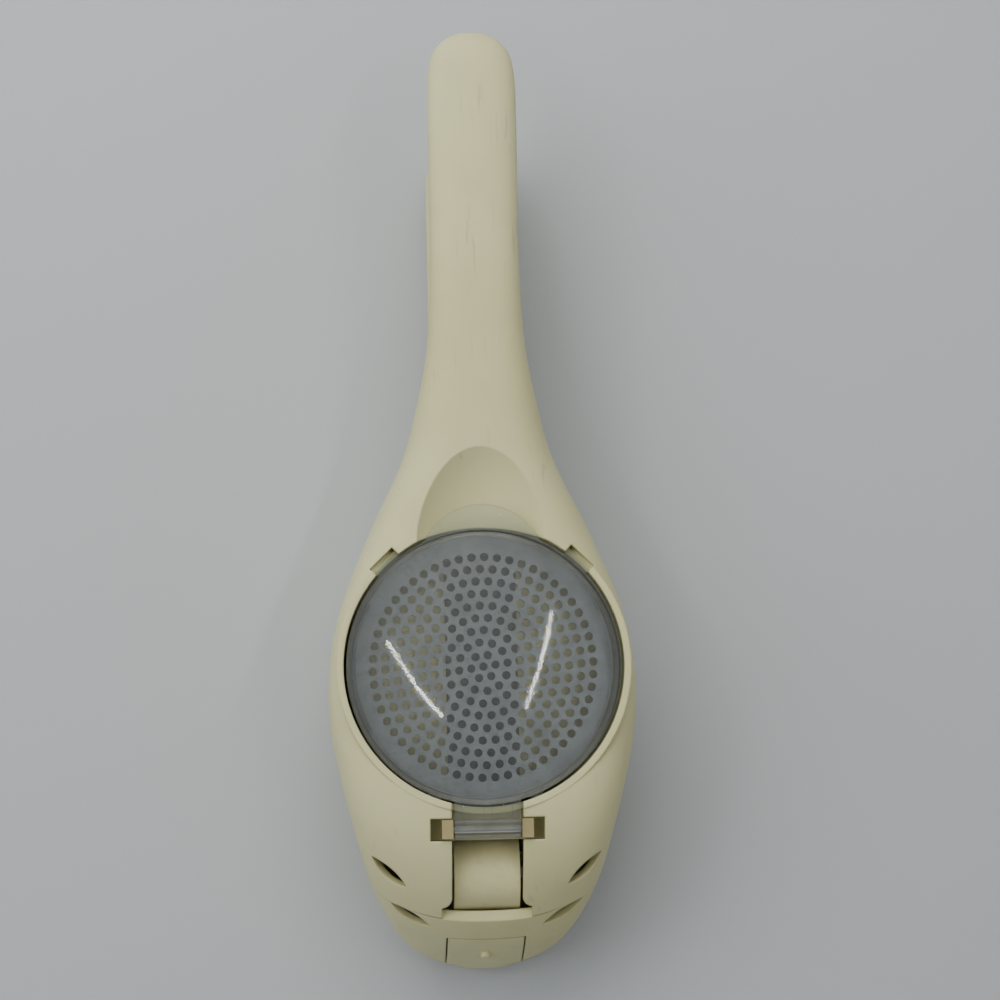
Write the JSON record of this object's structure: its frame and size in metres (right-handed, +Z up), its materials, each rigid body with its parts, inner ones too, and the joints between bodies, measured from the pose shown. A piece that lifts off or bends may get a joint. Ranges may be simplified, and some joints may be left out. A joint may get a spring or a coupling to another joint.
{
  "type": "garlic press",
  "caption": "Hand garlic press: casing with long handle, squeeze lever below it, plunger rising to a round sieve under a clear hinged dome lid.",
  "frame": {"origin": "on the table plane, straight under the axis of the sieve", "axes": "+Z up, +Y towards the handle's end, -Y towards the nose, +X to the right seen from above with the handle away"},
  "size_m": [0.083, 0.2549, 0.0624],
  "materials": {
    "ivory_plastic": "fine moulded grain, slightly yellowed",
    "ivory_plastic_lower": "fine moulded grain, slightly yellowed",
    "ivory_plastic_inner": "smooth moulded plastic",
    "clear_plastic": "clear, polished",
    "sieve_steel": "satin sheet",
    "cast_metal": "die cast",
    "bright_steel": "turned",
    "dark_steel": "dark satin",
    "bronze": "sintered",
    "tan_plastic": "smooth",
    "silicone": "soft, matte",
    "spring_steel": "drawn wire"
  },
  "bodies": {
    "root": {"upper_shell": "ivory_plastic", "lower_shell": "ivory_plastic_lower", "pressing_chamber": "cast_metal", "sieve_gasket": "silicone", "sieve_plate": "sieve_steel", "main_pivot_pin": "bright_steel", "pivot_bush_left": "bronze", "pivot_bush_right": "bronze", "pivot_clips": "spring_steel", "lid_hinge_bracket": "tan_plastic", "lid_hinge_pin": "bright_steel", "nose_lock_pin": "bright_steel", "nose_lock_spring": "spring_steel", "return_spring": "spring_steel", "casing_screws": "bright_steel", "chamber_screws": "bright_steel"},
    "lever": {"squeeze_lever": "ivory_plastic_lower", "press_arm": "dark_steel", "arm_rivets": "bright_steel", "lever_knuckle": "ivory_plastic_inner", "plunger_cross_pin": "bright_steel"},
    "plunger": {"plunger_head": "ivory_plastic_inner", "plunger_spine": "dark_steel", "plunger_wiper": "silicone"},
    "lid": {"lid": "clear_plastic"},
    "nose_lock": {"nose_lock": "ivory_plastic_lower"}
  },
  "joints": [
    {"name": "lever_squeeze", "type": "hinge", "parent": "root", "child": "lever", "pos_m": [0, -0.05404, 0.034], "axis": [1, 0, 0], "range_deg": [0, 8], "stiffness_Nm_per_rad": 4, "springref_deg": -6.88},
    {"name": "plunger_lift", "type": "slide", "parent": "root", "child": "plunger", "axis": [0, 0, 1], "range_m": [0, 0.0078], "deforming": ["return_spring"]},
    {"name": "lid_hinge", "type": "hinge", "parent": "root", "child": "lid", "pos_m": [0, -0.04264, 0.0515], "axis": [1, 0, 0], "range_deg": [0, 105]},
    {"name": "nose_lock_press", "type": "hinge", "parent": "root", "child": "nose_lock", "pos_m": [0, -0.06864, 0.0283], "axis": [1, 0, 0], "range_deg": [0, 6], "stiffness_Nm_per_rad": 0.3, "springref_deg": -5.73}
  ],
  "couplings": [
    {"joint": "plunger_lift", "follows": "lever_squeeze", "m_per_rad": 0.05443}
  ]
}
